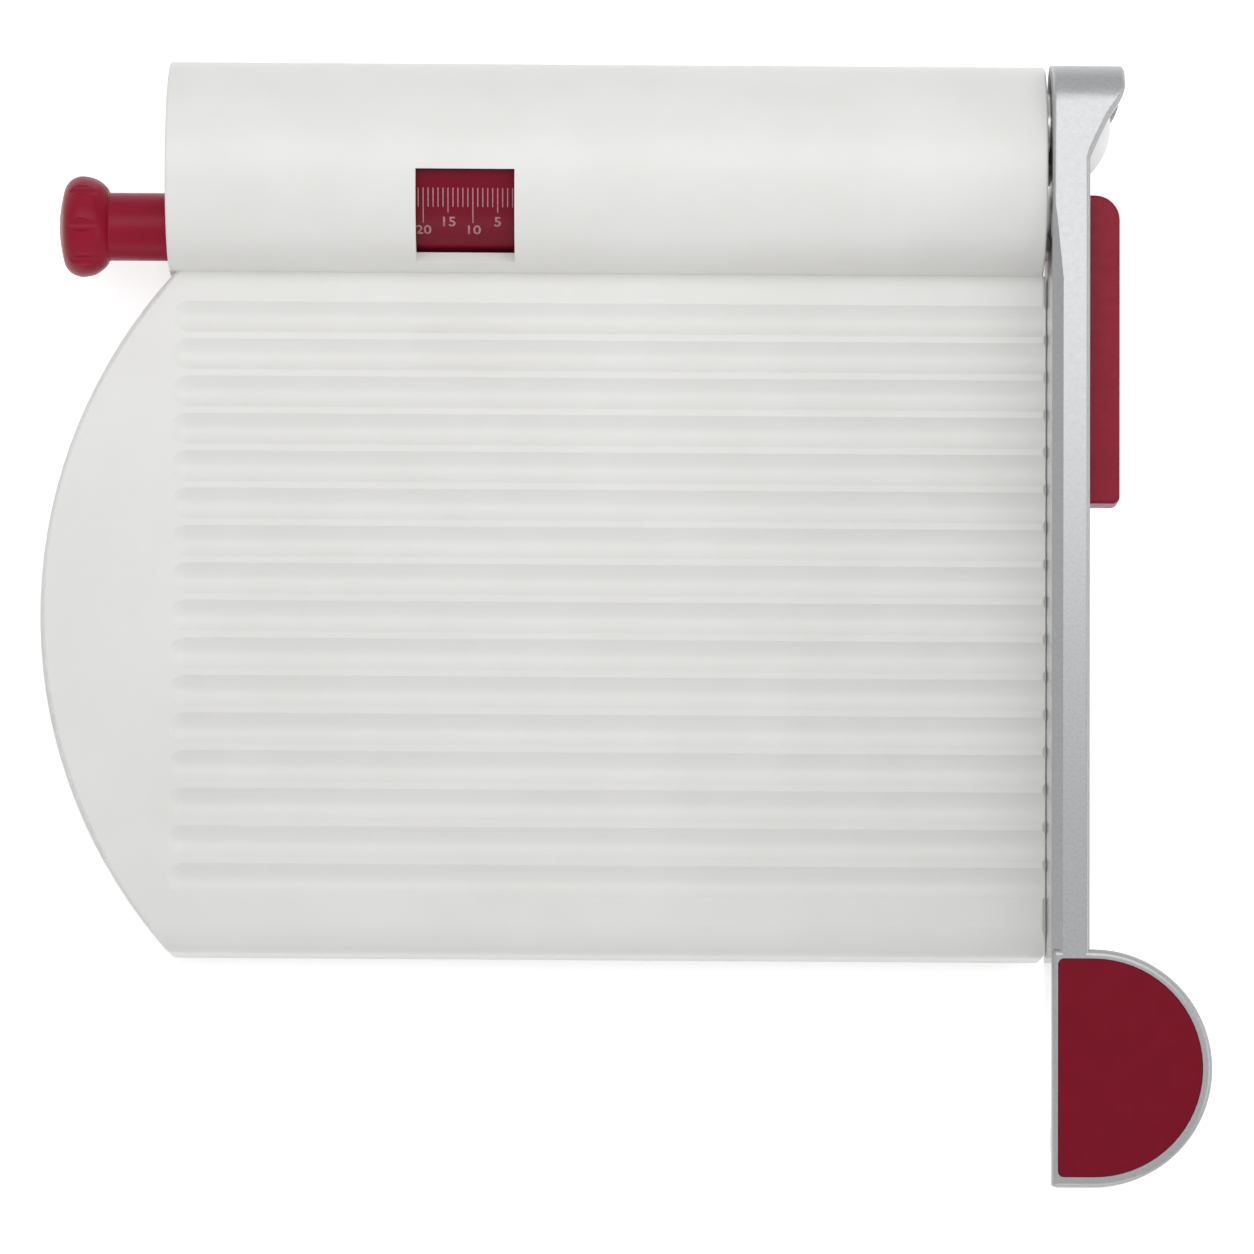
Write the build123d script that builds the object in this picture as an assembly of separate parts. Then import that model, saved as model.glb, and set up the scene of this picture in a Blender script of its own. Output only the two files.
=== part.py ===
from build123d import *
import math
import os

# Table-top cheese slicer.
# X runs along the housing to the right, Y to the rear, Z up.
# The origin is the bottom centre of the box round the whole object at rest.

# Board with its round wing
board_length = 176.5
board_depth = 138.2
board_top_z = 25.0
foot_stand = 2.5
wing_radius = 103.0
base_wall = 2.5
top_plate = 3.5
front_round = 6.0
wing_edge_round = 1.0
shear_edge_round = 0.7
front_corner_round = 1.8
bay_wall = 2.5

# Grooves across the board
groove_count = 16
groove_width = 6.3
groove_depth = 1.3
groove_rear_land = 6.1
groove_front_land = 11.6
groove_past_corner = 0.35

# Rear block under the housing
housing_radius = 21.3
housing_wall = 2.2
rear_length = 177.3
rear_setback = 0.5
rear_corner_round = 1.2
hood_end_round = 0.5
window_offset = 50.3
window_length = 19.9
window_top_angle = 8.6
window_front_angle = 71.0

# Hood fastening
tongue_thickness = 1.4
tongue_length = 12.0
tongue_depth = 3.0
tongue_height = 8.0
tongue_left_offset = 16.0
tongue_mid_inset = 56.3
tongue_right_inset = 21.3
post_radius = 3.5
post_inset = 5.6
post_left_offset = 18.0
post_right_inset = 56.3
post_rib = 2.0
column_bottom_z = 10.0
hood_screw_length = 25.0

# Bottom cover, feet and their screws
cover_thickness = 2.5
cover_gap = 0.15
foot_radius = 7.0
foot_recess = 1.0
foot_edge_round = 0.8
foot_inset_left = 19.0
foot_inset_rear_left = 20.3
foot_inset_right = 19.0
foot_inset_front = 12.0
foot_inset_rear = 12.5
boss_radius = 3.6
cover_screw_length = 10.0
cover_screw_span = 90.0
cover_screw_front = 30.0
cover_screw_rear = 25.0
wing_screw_inset = 16.0
side_screw_inset = 12.0
rib_thickness = 2.0
rib_height = 11.0
rib_count = 4

# Common screw sizes
screw_radius = 1.5
screw_head_radius = 2.7
screw_head_height = 1.5
screw_hole_gap = 0.2

# Clearances
run_gap = 0.05
fit_gap = 0.03
slip_gap = 0.1
face_gap = 0.3
overrun = 1.0
weld = 0.3

# Bearing plates across the rear bay
plate_thickness = 6.0
bulkhead_offset = 33.0
plate_screw_front = 4.0
plate_screw_rear = 12.0
plate_screw_length = 12.0

# Adjusting spindle and its knob
spindle_inset = 6.75
spindle_radius = 3.0
spindle_past_nut = 2.1
spindle_bush_wall = 1.45
ring_thickness = 1.0
ring_height = 2.0
ring_seat_depth = 0.6
knob_radius = 10.2
knob_head_length = 9.85
knob_dome_radius = 7.0
knob_dome_height = 0.9
knob_crown_place = 5.4
knob_neck_radius = 6.9
knob_neck_length = 12.1
knob_neck_round = 0.7
knob_groove_count = 8
knob_groove_radius = 1.6
knob_groove_depth = 0.85
knob_groove_turn = 6.0
knob_screw_length = 10.0
knob_screw_sink = 1.6
knob_web = 2.5

# Carriage behind the window
carriage_offset = 30.7
carriage_length = 42.1
carriage_gap = 0.9
carriage_wall = 2.4
carriage_rear_angle = -12.0
carriage_front_angle = 78.5
carriage_web = 2.0
nut_block_gap = 1.0
nut_block_rear = 6.4
nut_block_half_height = 5.5
nut_radius = 4.4
nut_length = 12.0
screw_room = 1.0
guide_rod_radius = 2.5
guide_rod_reach = 2.5
guide_rod_drop = 8.0
guide_arm_wall = 2.6
carriage_block_length = 30.0
guide_rod_seat = 4.0

# Slide bar and stop block
bar_radius = 4.0
bar_bush_wall = 1.2
bar_under_blade = 1.5
bar_bush_web = 1.3
bar_block_half_width = 6.0
bar_block_wall = 1.9
bar_socket = 16.0
bar_pin_radius = 1.25
bar_pin_inset = 8.0
bar_pin_short = 0.5
bar_pin_past = 1.8
bar_room = 0.4
bar_flat_depth = 1.0
slide_rest = 1.5
slide_travel = 20.0
stop_width = 10.95
stop_front_reach = 56.9
stop_rear_reach = 5.55
stop_bottom_z = 31.5
stop_under_arm = 2.0
stop_rear_round = 5.0
stop_front_round = 1.4
stop_edge_round = 0.6
stop_end_wall = 3.0
stop_screw_length = 11.0
stop_screw_sink = 0.6
stop_leg_wall = 2.0
stop_leg_front = 6.5

# Lever pivot
pivot_inset = 6.68
pivot_angle = 49.9
axle_radius = 4.0
axle_bush_wall = 1.15
axle_square = 5.5
axle_square_short = 0.3
axle_thread_radius = 2.5
axle_thread_end = 0.5
axle_hole_room = 0.5
axle_end_past_ring = 1.0
thrust_washer_radius = 6.5
thrust_washer_thickness = 0.6
washer_radius = 4.6
washer_thickness = 0.8
nut_width = 8.0
nut_height = 2.5
stop_pin_radius = 1.5
stop_pin_reach = 8.5
stop_pin_angle = 200.0
stop_pin_seat = 4.0
stop_pin_end_gap = 0.3
stop_slot_room = 0.2
lever_swing = 80.0

# Lever casting
shear_gap = 0.25
arm_width = 7.45
arm_height = 8.0
hub_rise = 15.5
arm_chamfer = 2.1
arm_chamfer_end = 33.0
arm_chamfer_blend = 16.0
arm_edge_round = 1.0
hub_width = 14.5
hub_radius = 12.2
hub_rear_reach = 11.05
hub_rear_round = 8.2
flare_start = 8.6
flare_end = 7.0
cap_radius = 10.0
cap_wall = 1.3
cap_pocket_depth = 8.7
cap_skirt = 2.1
cap_dome = 4.4
handle_radius = 23.55
handle_side = 8.25
handle_overlap = 0.3
handle_edge_round = 1.4
handle_corner_round = 0.8
grip_rim = 1.9
grip_side_rim = 1.15
grip_depth = 2.6
grip_sink = 0.15
grip_gap = 0.1
grip_corner_round = 1.2
grip_boss_radius = 3.0
grip_boss_length = 2.4
grip_boss_inset = 10.65
grip_boss_shift = 6.0
grip_floor_web = 1.3
grip_screw_radius = 1.25
grip_screw_head_radius = 2.4
grip_screw_head_height = 1.4
grip_screw_length = 4.4

# Blade
blade_thickness = 1.2
blade_top_drop = 3.2
blade_hub_gap = 0.3
blade_rebate_gap = 0.2
blade_bend_length = 9.9
blade_bend_rise = 5.0
blade_tip_edge_z = 35.5
blade_tip_inset = 0.4
blade_bevel_height = 3.5
blade_bevel_depth = 0.9
blade_screw_count = 5
blade_screw_drop = 5.6
blade_screw_end = 9.0
blade_screw_head_radius = 2.5
blade_screw_head_height = 1.0
blade_screw_length = 6.0

# Shares of an outline: along the flare, and out towards the hub's right side
flare_shares = ((0.23, 0.22), (0.42, 0.42), (0.59, 0.62), (0.75, 0.85))
# Shares of the knob's rounded shoulders, along its axis and outwards
knob_front_shares = (0.26, 0.69)
knob_back_shares = (0.65, 0.68)
# An edge leaning more than this share along an axis runs along that axis
rim_lean_share = 0.93
# How far a bevel's cutter runs past the bevel
bevel_over_share = 0.5

# Places worked out from the sizes above
wing_half_reach = math.sqrt(wing_radius ** 2 - (board_depth / 2) ** 2)
wing_sagitta = wing_radius - wing_half_reach
left_reach = board_length + wing_sagitta
right_reach = shear_gap + handle_side + handle_radius
shear_x = (left_reach - right_reach) / 2
board_left_x = shear_x - board_length
wing_x = board_left_x + wing_half_reach
housing_depth = 2 * housing_radius
handle_front_reach = 2 * handle_radius - handle_overlap
rear_y = (housing_depth + board_depth + handle_front_reach) / 2
junction_y = rear_y - housing_depth
board_front_y = junction_y - board_depth
board_mid_y = (board_front_y + junction_y) / 2
axis_y = rear_y - housing_radius
axis_z = board_top_z
hood_inner_radius = housing_radius - housing_wall
tongue_reach = hood_inner_radius - slip_gap
bay_front_reach = hood_inner_radius + slip_gap
plate_radius = hood_inner_radius - 2 * slip_gap
plate_rear_reach = housing_radius - base_wall - 2 * slip_gap
nut_block_reach = hood_inner_radius - nut_block_gap
carriage_outer_radius = hood_inner_radius - carriage_gap
spindle_offset = hood_inner_radius - spindle_inset
post_reach = hood_inner_radius - post_inset
pivot_reach = (hood_inner_radius - pivot_inset) * math.cos(math.radians(pivot_angle))
pivot_height = (hood_inner_radius - pivot_inset) * math.sin(math.radians(pivot_angle))
rear_right_x = shear_x - rear_setback
rear_left_x = rear_right_x - rear_length
base_bottom_z = foot_stand
cover_top_z = base_bottom_z + cover_thickness
plate_under_z = board_top_z - top_plate
bay_front_y = axis_y - bay_front_reach
bay_rear_y = rear_y - base_wall
spindle_y = axis_y - spindle_offset
post_y = axis_y + post_reach
left_plate_x = rear_left_x + base_wall + slip_gap
right_plate_x = rear_right_x - base_wall - slip_gap - plate_thickness
bulkhead_x = rear_right_x - bulkhead_offset - plate_thickness
neck_end_x = rear_left_x - face_gap
head_right_x = neck_end_x - knob_neck_length
head_left_x = head_right_x - knob_head_length
carriage_left_x = rear_left_x + carriage_offset
carriage_right_x = carriage_left_x + carriage_length
spindle_end_x = carriage_left_x + slide_travel - slide_rest + nut_length + spindle_past_nut
carriage_block_right_x = carriage_left_x + carriage_block_length
bar_left_x = carriage_block_right_x - bar_socket
bar_z = cover_top_z + bar_bush_web + bar_bush_wall + bar_radius
bar_block_bottom_z = bar_z - bar_radius - bar_block_wall
blade_edge_z = bar_z + bar_radius + bar_under_blade
lever_left_x = shear_x + shear_gap
lever_right_x = lever_left_x + arm_width
blade_right_x = lever_left_x + blade_thickness
stop_left_x = blade_right_x + face_gap + slide_rest
stop_right_x = stop_left_x + stop_width
stop_front_y = spindle_y - stop_front_reach
stop_rear_y = spindle_y + stop_rear_reach
stop_leg_bottom_z = bar_z - bar_radius - stop_leg_wall
bar_right_x = stop_right_x - stop_end_wall
pivot_y = axis_y + pivot_reach
pivot_z = axis_z + pivot_height
arm_top_z = pivot_z + hub_rise
hub_right_x = lever_left_x + hub_width
pocket_floor_x = hub_right_x - cap_pocket_depth
arm_under_z = arm_top_z - arm_height
stop_top_z = arm_under_z - stop_under_arm
handle_x = lever_left_x + handle_side
handle_y = board_front_y + handle_overlap - handle_radius
grip_radius = handle_radius - grip_rim
grip_floor_z = arm_top_z - grip_depth
grip_top_z = arm_top_z - grip_sink
grip_side_x = lever_left_x + grip_side_rim
blade_top_z = arm_top_z - blade_top_drop
blade_rear_y = pivot_y - hub_radius - blade_hub_gap
blade_tip_y = handle_y - handle_radius + blade_tip_inset
blade_screw_z = arm_top_z - blade_screw_drop
ring_gap_x = bulkhead_x - slip_gap


def block(x0, x1, y0, y1, z0, z1):
    size = Box(x1 - x0, y1 - y0, z1 - z0)
    return Pos((x0 + x1) / 2, (y0 + y1) / 2, (z0 + z1) / 2) * size


def area(x0, x1, y0, y1):
    return Pos((x0 + x1) / 2, (y0 + y1) / 2) * Rectangle(x1 - x0, y1 - y0)


def rod_x(radius, x0, x1, y, z):
    return Pos((x0 + x1) / 2, y, z) * Rot(0, 90, 0) * Cylinder(radius, x1 - x0)


def rod_z(radius, x, y, z0, z1):
    return Pos(x, y, (z0 + z1) / 2) * Cylinder(radius, z1 - z0)


def tube_x(outer, inner, x0, x1, y, z):
    hole = rod_x(inner, x0 - overrun, x1 + overrun, y, z)
    return rod_x(outer, x0, x1, y, z) - hole


def slab_x(sketch, x0, x1):
    return extrude(Plane.YZ.offset(x0) * sketch, amount=x1 - x0)


def slab_z(sketch, z0, z1):
    return extrude(Plane.XY.offset(z0) * sketch, amount=z1 - z0)


def pan_screw(head_radius, head_height, radius, length):
    head = rod_z(head_radius, 0, 0, 0, head_height)
    return head + rod_z(radius, 0, 0, -length, weld)


def flat_screw(head_radius, head_height, radius, length):
    with BuildPart() as screw:
        with BuildSketch(Plane.XZ):
            with BuildLine():
                Polyline(
                    (0, 0), (head_radius, 0), (radius, -head_height),
                    (radius, -length), (0, -length), close=True,
                )
            make_face()
        revolve(axis=Axis.Z)
    return screw.part


def aimed(x, y, z, direction):
    return Plane(origin=(x, y, z), z_dir=direction).location


def board_sketch(inset, y0, y1):
    right = shear_x - inset
    band = area(wing_x - wing_radius, right, y0, y1)
    bulge = Pos(wing_x, board_mid_y) * Circle(wing_radius - inset)
    return band & (bulge + area(wing_x, right, y0, y1))


def inner_plan(inset):
    board = board_sketch(inset, board_front_y + inset, junction_y)
    rear = area(rear_left_x + inset, rear_right_x - inset, junction_y, rear_y - inset)
    return board + rear


def half_disc(radius):
    upper = Pos(0, radius / 2) * Rectangle(2 * radius, radius)
    return Pos(axis_y, axis_z) * (Circle(radius) & upper)


def sector(inner, outer, angle0, angle1):
    reach = 2 * outer
    points = [(0, 0)]
    for share in (0.0, 0.5, 1.0):
        angle = math.radians(angle0 + (angle1 - angle0) * share)
        points.append((-reach * math.sin(angle), reach * math.cos(angle)))
    wedge = make_face(Polyline(*points, close=True))
    ring = Circle(outer)
    if inner > 0:
        ring = ring - Circle(inner)
    return Pos(axis_y, axis_z) * (ring & wedge)


def cover_screw_places():
    left = -cover_screw_span / 2
    right = cover_screw_span / 2
    front = board_front_y + cover_screw_front
    rear = junction_y - cover_screw_rear
    places = [(left, front), (right, front), (left, rear), (right, rear)]
    places.append((wing_x - wing_radius + wing_screw_inset, board_mid_y))
    places.append((shear_x - side_screw_inset, board_mid_y))
    return places


def plate_screw_places():
    places = []
    for x in (left_plate_x, bulkhead_x, right_plate_x):
        for reach in (-plate_screw_front, plate_screw_rear):
            places.append((x + plate_thickness / 2, axis_y + reach))
    return places


def hood_post_places():
    offsets = (post_left_offset, rear_length / 2, rear_length - post_right_inset)
    return [(rear_left_x + offset, post_y) for offset in offsets]


def foot_places():
    front_left = board_left_x + foot_inset_left
    rear_left = rear_left_x + foot_inset_rear_left
    right = shear_x - foot_inset_right
    front = board_front_y + foot_inset_front
    rear = rear_y - foot_inset_rear
    return {
        "foot_front_left": (front_left, front),
        "foot_front_right": (right, front),
        "foot_rear_left": (rear_left, rear),
        "foot_rear_right": (right, rear),
    }


def front_nose_sketch():
    round_y = board_front_y + front_round
    round_z = board_top_z - front_round
    corner = area(board_front_y - overrun, round_y, round_z, board_top_z + overrun)
    return corner - Pos(round_y, round_z) * Circle(front_round)


def make_base_board():
    outline = board_sketch(0, board_front_y, junction_y)
    slab = slab_z(outline, base_bottom_z, board_top_z)
    corner = slab.edges().filter_by(Axis.Z).sort_by(Axis.Y)[0:2].sort_by(Axis.X)[0]
    slab = fillet(corner, front_corner_round)
    top = slab.faces().sort_by(Axis.Z)[-1]
    wing_edge = top.edges().sort_by(Axis.X)[0]
    slab = fillet(wing_edge, wing_edge_round)
    top = slab.faces().sort_by(Axis.Z)[-1]
    shear_edge = top.edges().sort_by(Axis.X)[-1]
    slab = fillet(shear_edge, shear_edge_round)
    slab -= slab_x(front_nose_sketch(), wing_x - wing_radius - overrun, shear_x + overrun)

    rear = block(rear_left_x, rear_right_x, junction_y, rear_y, base_bottom_z, board_top_z)
    corners = rear.edges().filter_by(Axis.Z).group_by(Axis.Y)[-1]
    rear = fillet(corners, rear_corner_round)
    body = slab + rear

    # Hollow underneath, and the bay under the housing
    body -= slab_z(inner_plan(base_wall), base_bottom_z - overrun, cover_top_z)
    hollow = board_sketch(base_wall, board_front_y + base_wall, bay_front_y - bay_wall)
    body -= slab_z(hollow, cover_top_z, plate_under_z)
    body -= block(
        rear_left_x + base_wall, rear_right_x - base_wall, bay_front_y, bay_rear_y,
        cover_top_z, board_top_z + overrun,
    )
    front = board_front_y + base_wall - weld
    rear_end = bay_front_y - bay_wall + weld
    for step in range(rib_count):
        share = (step + 1) / (rib_count + 1)
        x = board_left_x + board_length * share
        body += block(
            x - rib_thickness / 2, x + rib_thickness / 2, front, rear_end,
            plate_under_z - rib_height, plate_under_z + weld,
        )
    for x, y in cover_screw_places():
        body += rod_z(boss_radius, x, y, cover_top_z, plate_under_z + weld)
    for x, y in hood_post_places():
        body += rod_z(post_radius, x, y, column_bottom_z, board_top_z)
        body += block(
            x - post_rib / 2, x + post_rib / 2, y, bay_rear_y + weld,
            column_bottom_z, board_top_z,
        )

    # Grooves with round left ends, open at the shear face
    radius = (groove_width ** 2 / 4 + groove_depth ** 2) / (2 * groove_depth)
    centre_z = board_top_z - groove_depth + radius
    first = junction_y - groove_rear_land - groove_width / 2
    last = board_front_y + groove_front_land + groove_width / 2
    start = board_left_x - groove_past_corner + groove_width / 2
    for step in range(groove_count):
        y = first + (last - first) * step / (groove_count - 1)
        body -= rod_x(radius, start, shear_x + overrun, y, centre_z)
        body -= Pos(start, y, centre_z) * Sphere(radius)

    # Screw holes, the lower half of the spindle's hole and the hole of the slide bar
    for x, y in cover_screw_places():
        depth = cover_screw_length + overrun
        body -= rod_z(screw_radius + fit_gap, x, y, base_bottom_z, base_bottom_z + depth)
    for x, y in hood_post_places():
        body -= rod_z(screw_radius + screw_hole_gap, x, y, column_bottom_z - overrun, board_top_z + overrun)
    body -= rod_x(
        spindle_radius + axle_hole_room, rear_left_x - overrun, rear_left_x + base_wall + overrun,
        spindle_y, axis_z,
    )
    body -= rod_x(
        bar_radius + bar_room, rear_right_x - base_wall - overrun, rear_right_x + overrun,
        spindle_y, bar_z,
    )
    return body


def make_bottom_cover():
    cover = slab_z(inner_plan(base_wall + cover_gap), base_bottom_z, cover_top_z)
    for x, y in foot_places().values():
        cover -= rod_z(foot_radius + fit_gap, x, y, base_bottom_z - overrun, base_bottom_z + foot_recess)
    for x, y in cover_screw_places() + plate_screw_places():
        hole = flat_screw(
            screw_head_radius + fit_gap, screw_head_height, screw_radius + screw_hole_gap,
            cover_thickness + overrun,
        )
        cover -= aimed(x, y, base_bottom_z, (0, 0, -1)) * hole
    return cover


def make_foot(place):
    x, y = place
    foot = rod_z(foot_radius, x, y, 0, base_bottom_z + foot_recess)
    rim = foot.edges().group_by(Axis.Z)[0]
    return fillet(rim, foot_edge_round)


def make_cover_screws():
    screws = []
    for x, y in cover_screw_places():
        screw = flat_screw(screw_head_radius, screw_head_height, screw_radius, cover_screw_length)
        screws.append(aimed(x, y, base_bottom_z, (0, 0, -1)) * screw)
    return screws


def make_plate_screws():
    screws = []
    for x, y in plate_screw_places():
        screw = flat_screw(screw_head_radius, screw_head_height, screw_radius, plate_screw_length)
        screws.append(aimed(x, y, base_bottom_z, (0, 0, -1)) * screw)
    return screws


def make_hood_screws():
    screws = []
    for x, y in hood_post_places():
        screw = pan_screw(screw_head_radius, screw_head_height, screw_radius, hood_screw_length)
        screws.append(aimed(x, y, column_bottom_z, (0, 0, -1)) * screw)
    return screws


def make_housing_hood():
    shell = slab_x(half_disc(housing_radius), rear_left_x, rear_right_x)
    arcs = shell.edges().filter_by(GeomType.CIRCLE)
    shell = fillet(arcs, hood_end_round)
    shell -= slab_x(half_disc(hood_inner_radius), rear_left_x + housing_wall, rear_right_x - housing_wall)

    # Posts for the screws at the rear, and tongues behind the board's rear edge
    room = slab_x(half_disc(hood_inner_radius + weld), rear_left_x, rear_right_x)
    for x, y in hood_post_places():
        shell += rod_z(post_radius, x, y, axis_z, axis_z + housing_radius) & room
    for x, y in hood_post_places():
        depth = column_bottom_z + hood_screw_length + fit_gap
        shell -= rod_z(screw_radius + fit_gap, x, y, axis_z - overrun, depth)
    for middle_x in (
        rear_left_x + tongue_left_offset, rear_right_x - tongue_mid_inset, rear_right_x - tongue_right_inset,
    ):
        x0 = middle_x - tongue_length / 2
        y0 = axis_y - tongue_reach
        y1 = y0 + tongue_thickness
        root = block(x0, x0 + tongue_length, y0, y1, axis_z, axis_z + tongue_height)
        shell += root & room
        shell += block(x0, x0 + tongue_length, y0, y1, axis_z - tongue_depth, axis_z + weld)

    # Window over the scale
    inner = hood_inner_radius - overrun
    gap = sector(inner, housing_radius + overrun, window_top_angle, window_front_angle)
    window_x = rear_left_x + window_offset
    shell -= slab_x(gap, window_x, window_x + window_length)

    # Upper half of the spindle's hole, the axle's hole and the slot of the stop pin
    right0 = rear_right_x - housing_wall - overrun
    right1 = rear_right_x + overrun
    shell -= rod_x(
        spindle_radius + axle_hole_room, rear_left_x - overrun, rear_left_x + housing_wall + overrun,
        spindle_y, axis_z,
    )
    shell -= rod_x(axle_radius + axle_hole_room, right0, right1, pivot_y, pivot_z)
    shell -= make_stop_slot(right0, right1)
    return shell


def pin_place(angle):
    turn = math.radians(angle)
    return (pivot_y + stop_pin_reach * math.cos(turn), pivot_z + stop_pin_reach * math.sin(turn))


def make_stop_slot(x0, x1):
    width = 2 * (stop_pin_radius + stop_slot_room)
    start = pin_place(stop_pin_angle)
    middle = pin_place(stop_pin_angle - lever_swing / 2)
    end = pin_place(stop_pin_angle - lever_swing)
    outer = stop_pin_reach + width / 2
    inner = stop_pin_reach - width / 2
    ring = Circle(outer) - Circle(inner)
    reach = 2 * outer
    points = [(0, 0)]
    for share in (0.0, 0.5, 1.0):
        angle = math.radians(stop_pin_angle - lever_swing * share)
        points.append((reach * math.cos(angle), reach * math.sin(angle)))
    wedge = make_face(Polyline(*points, close=True))
    band = Pos(pivot_y, pivot_z) * (ring & wedge)
    slot = slab_x(band, x0, x1)
    slot += rod_x(width / 2, x0, x1, start[0], start[1])
    slot += rod_x(width / 2, x0, x1, end[0], end[1])
    return slot


def make_plate(x0):
    upper = half_disc(plate_radius)
    lower = area(axis_y - tongue_reach, axis_y + plate_rear_reach, cover_top_z, axis_z)
    plate = slab_x(upper + lower, x0, x0 + plate_thickness)
    top = base_bottom_z + plate_screw_length + overrun
    for reach in (-plate_screw_front, plate_screw_rear):
        x = x0 + plate_thickness / 2
        plate -= rod_z(screw_radius + fit_gap, x, axis_y + reach, cover_top_z - overrun, top)
    return plate


def bore(x0, radius, y, z):
    return rod_x(radius, x0 - overrun, x0 + plate_thickness + overrun, y, z)


def guide_rod_place():
    return (axis_y + guide_rod_reach, axis_z - guide_rod_drop)


def make_left_plate():
    plate = make_plate(left_plate_x)
    plate -= bore(left_plate_x, spindle_radius + spindle_bush_wall + fit_gap, spindle_y, axis_z)
    y, z = guide_rod_place()
    inside = left_plate_x + plate_thickness
    plate -= rod_x(guide_rod_radius + fit_gap, inside - guide_rod_seat, inside + overrun, y, z)
    return plate


def make_inner_bulkhead():
    plate = make_plate(bulkhead_x)
    plate -= bore(bulkhead_x, bar_radius + bar_bush_wall + fit_gap, spindle_y, bar_z)
    plate -= bore(bulkhead_x, axle_radius + axle_bush_wall + fit_gap, pivot_y, pivot_z)
    y, z = guide_rod_place()
    plate -= rod_x(guide_rod_radius + fit_gap, bulkhead_x - overrun, bulkhead_x + guide_rod_seat, y, z)
    return plate


def make_right_plate():
    plate = make_plate(right_plate_x)
    plate -= bore(right_plate_x, bar_radius + bar_bush_wall + fit_gap, spindle_y, bar_z)
    plate -= bore(right_plate_x, axle_radius + axle_bush_wall + fit_gap, pivot_y, pivot_z)
    return plate


def make_bush(x0, radius, wall, y, z):
    return tube_x(radius + wall, radius + run_gap, x0, x0 + plate_thickness, y, z)


def make_guide_rod():
    y, z = guide_rod_place()
    start = left_plate_x + plate_thickness - guide_rod_seat
    return rod_x(guide_rod_radius, start, bulkhead_x + guide_rod_seat, y, z)


def make_adjusting_knob():
    dome_x = head_left_x + knob_dome_height
    crown_x = head_left_x + knob_crown_place
    dome_mid = (head_left_x + knob_dome_height / 4, knob_dome_radius / 2)
    shoulder = (
        dome_x + (crown_x - dome_x) * knob_front_shares[0],
        knob_dome_radius + (knob_radius - knob_dome_radius) * knob_front_shares[1],
    )
    back = (
        crown_x + (head_right_x - crown_x) * knob_back_shares[0],
        knob_neck_radius + (knob_radius - knob_neck_radius) * knob_back_shares[1],
    )
    neck_start_x = head_right_x + knob_neck_round
    foot = (head_right_x, knob_neck_radius + knob_neck_round)
    hollow = knob_neck_round * (1 - math.sqrt(2) / 2)
    profile = [
        ThreePointArc((head_left_x, 0), dome_mid, (dome_x, knob_dome_radius)),
        ThreePointArc((dome_x, knob_dome_radius), shoulder, (crown_x, knob_radius)),
        ThreePointArc((crown_x, knob_radius), back, foot),
        ThreePointArc(
            foot, (head_right_x + hollow, knob_neck_radius + hollow), (neck_start_x, knob_neck_radius),
        ),
        Line((neck_start_x, knob_neck_radius), (neck_end_x, knob_neck_radius)),
        Line((neck_end_x, knob_neck_radius), (neck_end_x, 0)),
        Line((neck_end_x, 0), (head_left_x, 0)),
    ]
    knob = revolve(make_face(Wire(profile)), Axis.X)
    groove_reach = knob_radius - knob_groove_depth + knob_groove_radius
    for step in range(knob_groove_count):
        turn = math.radians(knob_groove_turn) + 2 * math.pi * step / knob_groove_count
        y = groove_reach * math.cos(turn)
        z = groove_reach * math.sin(turn)
        knob -= rod_x(knob_groove_radius, head_left_x - overrun, head_right_x, y, z)
    knob = Pos(0, spindle_y, axis_z) * knob
    knob -= rod_x(spindle_radius + fit_gap, spindle_left_x(), neck_end_x + overrun, spindle_y, axis_z)
    seat = head_left_x + knob_screw_sink
    knob -= rod_x(screw_head_radius + fit_gap, head_left_x - overrun, seat, spindle_y, axis_z)
    knob -= rod_x(screw_radius + screw_hole_gap, seat - overrun, neck_end_x, spindle_y, axis_z)
    return knob


def spindle_left_x():
    return head_left_x + knob_screw_sink + knob_web


def make_lead_screw():
    screw = rod_x(spindle_radius, spindle_left_x(), spindle_end_x, spindle_y, axis_z)
    seat = tube_x(
        spindle_radius + overrun, spindle_radius - ring_seat_depth,
        spindle_ring_x() - fit_gap, spindle_ring_x() + ring_thickness + fit_gap, spindle_y, axis_z,
    )
    screw -= seat
    depth = head_left_x + knob_screw_sink + knob_screw_length + overrun
    return screw - rod_x(screw_radius + fit_gap, spindle_left_x() - overrun, depth, spindle_y, axis_z)


def spindle_ring_x():
    return left_plate_x + plate_thickness + slip_gap


def make_spindle_ring():
    inner = spindle_radius - ring_seat_depth + fit_gap
    x0 = spindle_ring_x()
    return tube_x(spindle_radius + ring_height, inner, x0, x0 + ring_thickness, spindle_y, axis_z)


def make_knob_screw():
    screw = pan_screw(screw_head_radius, screw_head_height, screw_radius, knob_screw_length)
    return aimed(head_left_x + knob_screw_sink, spindle_y, axis_z, (-1, 0, 0)) * screw


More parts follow.
